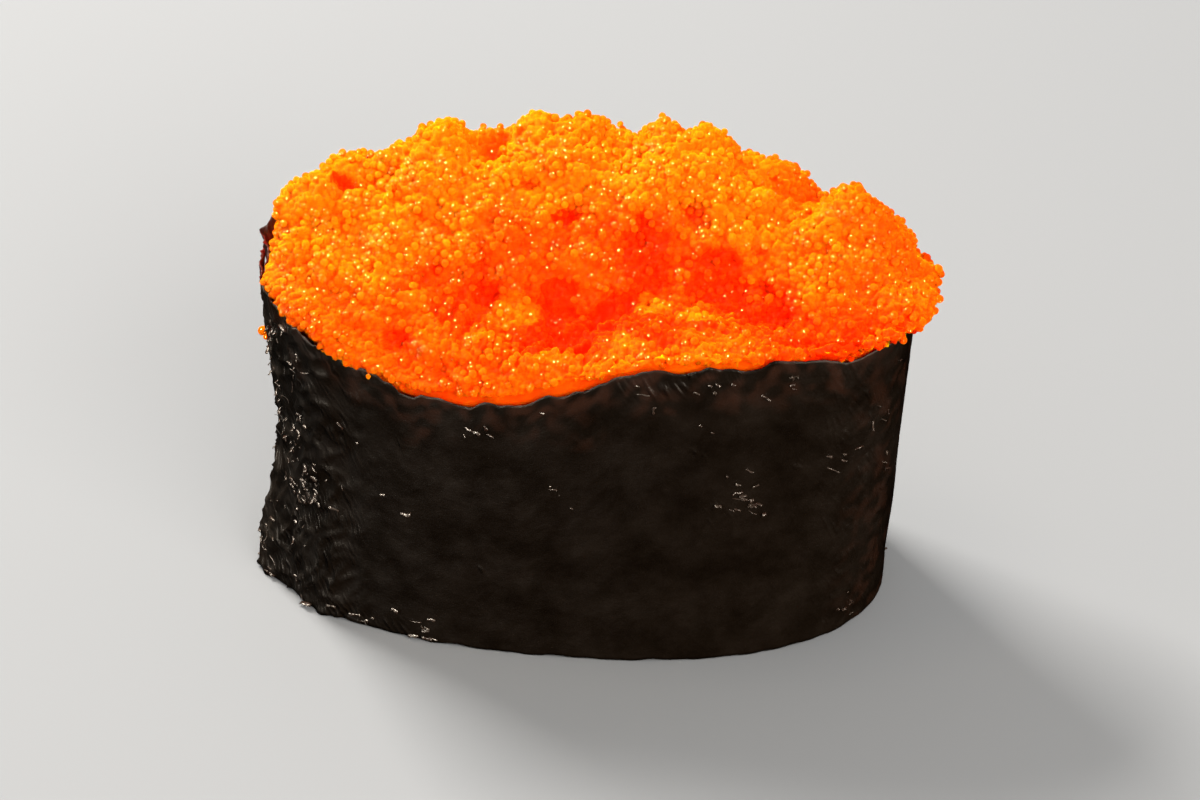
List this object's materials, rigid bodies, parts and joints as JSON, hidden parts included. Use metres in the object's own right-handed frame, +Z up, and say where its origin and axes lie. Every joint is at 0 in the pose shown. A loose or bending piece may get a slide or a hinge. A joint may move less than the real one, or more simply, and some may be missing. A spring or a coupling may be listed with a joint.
{
  "type": "masago gunkan sushi",
  "caption": "Gunkan sushi: rice wrapped on edge in a band of dark nori, heaped with small orange capelin roe that stands above and over the rim.",
  "frame": {"origin": "middle of the whole piece in plan, on the surface it stands on", "axes": "+Z up, +X along the oblong towards the end where the roe hangs over the rim, -Y towards the front where the rim sags"},
  "size_m": [0.0568, 0.0276, 0.0396],
  "materials": {
    "nori": "near-black toasted seaweed sheet, damp, wrinkled and fibrous, with small glossy glints",
    "rice": "cooked white rice, sticky and softly glossy",
    "masago": "wet translucent orange roe, each egg glossy with a small highlight, redder in the hollows"
  },
  "bodies": {
    "root": {"nori_band": "nori", "rice_bed": "rice", "masago_heap": "masago"}
  },
  "joints": []
}
